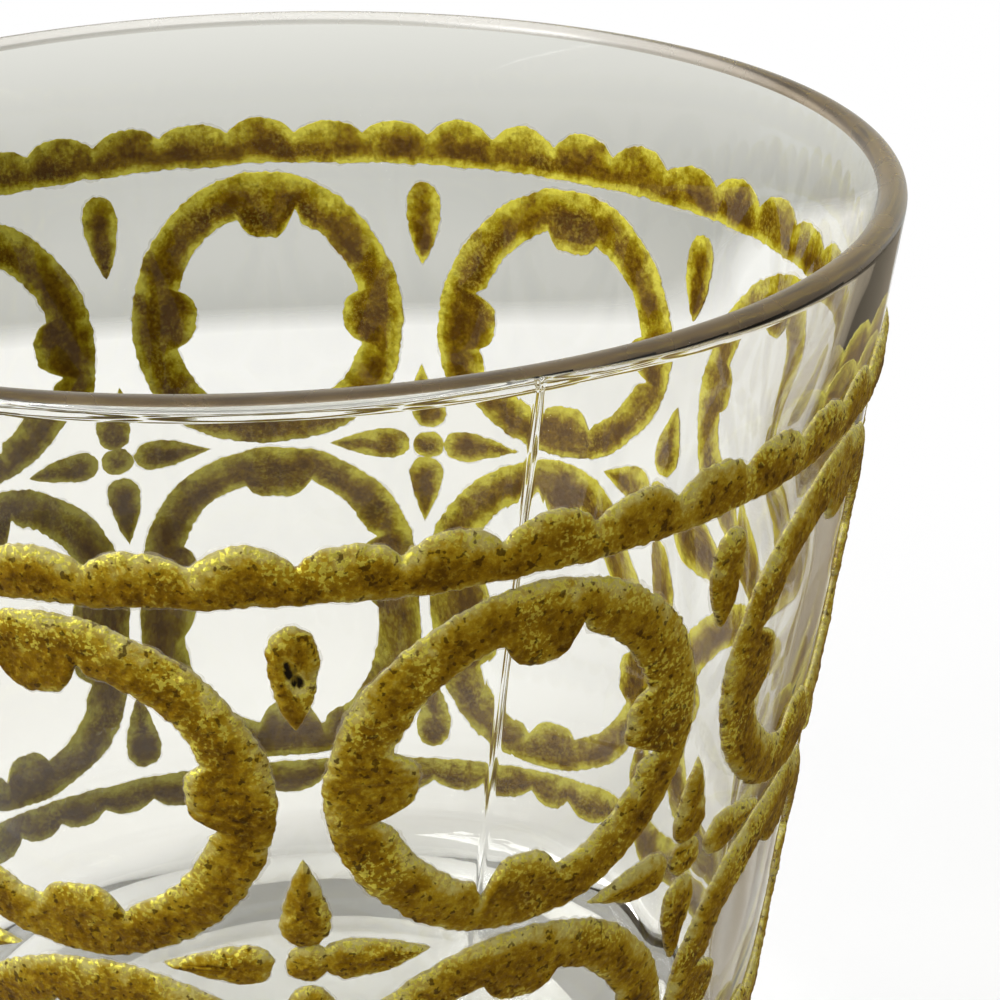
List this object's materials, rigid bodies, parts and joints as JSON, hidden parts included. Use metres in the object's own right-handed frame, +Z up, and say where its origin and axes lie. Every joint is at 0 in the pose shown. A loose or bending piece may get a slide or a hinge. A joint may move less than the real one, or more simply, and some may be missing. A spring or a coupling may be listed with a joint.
{
  "type": "tea glass",
  "caption": "Clear tapered tea glass with a thick base and rounded lip, decorated with raised gold glitter: scalloped bands, lobed rings, teardrops and petal crosses.",
  "frame": {"origin": "centre of the foot, on the surface that the glass stands on", "axes": "+Z up along the axis of the glass; -Y is the front, where one column of teardrops and crosses lies"},
  "size_m": [0.0718, 0.0718, 0.068],
  "materials": {
    "clear_glass": "clear, fire polished",
    "gold_glitter": "rough gold glitter paste"
  },
  "bodies": {
    "root": {"glass_body": "clear_glass", "upper_band": "gold_glitter", "lower_band": "gold_glitter", "upper_ring_1": "gold_glitter", "upper_ring_2": "gold_glitter", "upper_ring_3": "gold_glitter", "upper_ring_4": "gold_glitter", "upper_ring_5": "gold_glitter", "upper_ring_6": "gold_glitter", "upper_ring_7": "gold_glitter", "upper_ring_8": "gold_glitter", "upper_ring_9": "gold_glitter", "lower_ring_1": "gold_glitter", "lower_ring_2": "gold_glitter", "lower_ring_3": "gold_glitter", "lower_ring_4": "gold_glitter", "lower_ring_5": "gold_glitter", "lower_ring_6": "gold_glitter", "lower_ring_7": "gold_glitter", "lower_ring_8": "gold_glitter", "lower_ring_9": "gold_glitter", "upper_drop_1": "gold_glitter", "upper_drop_2": "gold_glitter", "upper_drop_3": "gold_glitter", "upper_drop_4": "gold_glitter", "upper_drop_5": "gold_glitter", "upper_drop_6": "gold_glitter", "upper_drop_7": "gold_glitter", "upper_drop_8": "gold_glitter", "upper_drop_9": "gold_glitter", "lower_drop_1": "gold_glitter", "lower_drop_2": "gold_glitter", "lower_drop_3": "gold_glitter", "lower_drop_4": "gold_glitter", "lower_drop_5": "gold_glitter", "lower_drop_6": "gold_glitter", "lower_drop_7": "gold_glitter", "lower_drop_8": "gold_glitter", "lower_drop_9": "gold_glitter", "petal_cross_1": "gold_glitter", "petal_cross_2": "gold_glitter", "petal_cross_3": "gold_glitter", "petal_cross_4": "gold_glitter", "petal_cross_5": "gold_glitter", "petal_cross_6": "gold_glitter", "petal_cross_7": "gold_glitter", "petal_cross_8": "gold_glitter", "petal_cross_9": "gold_glitter"}
  },
  "joints": []
}
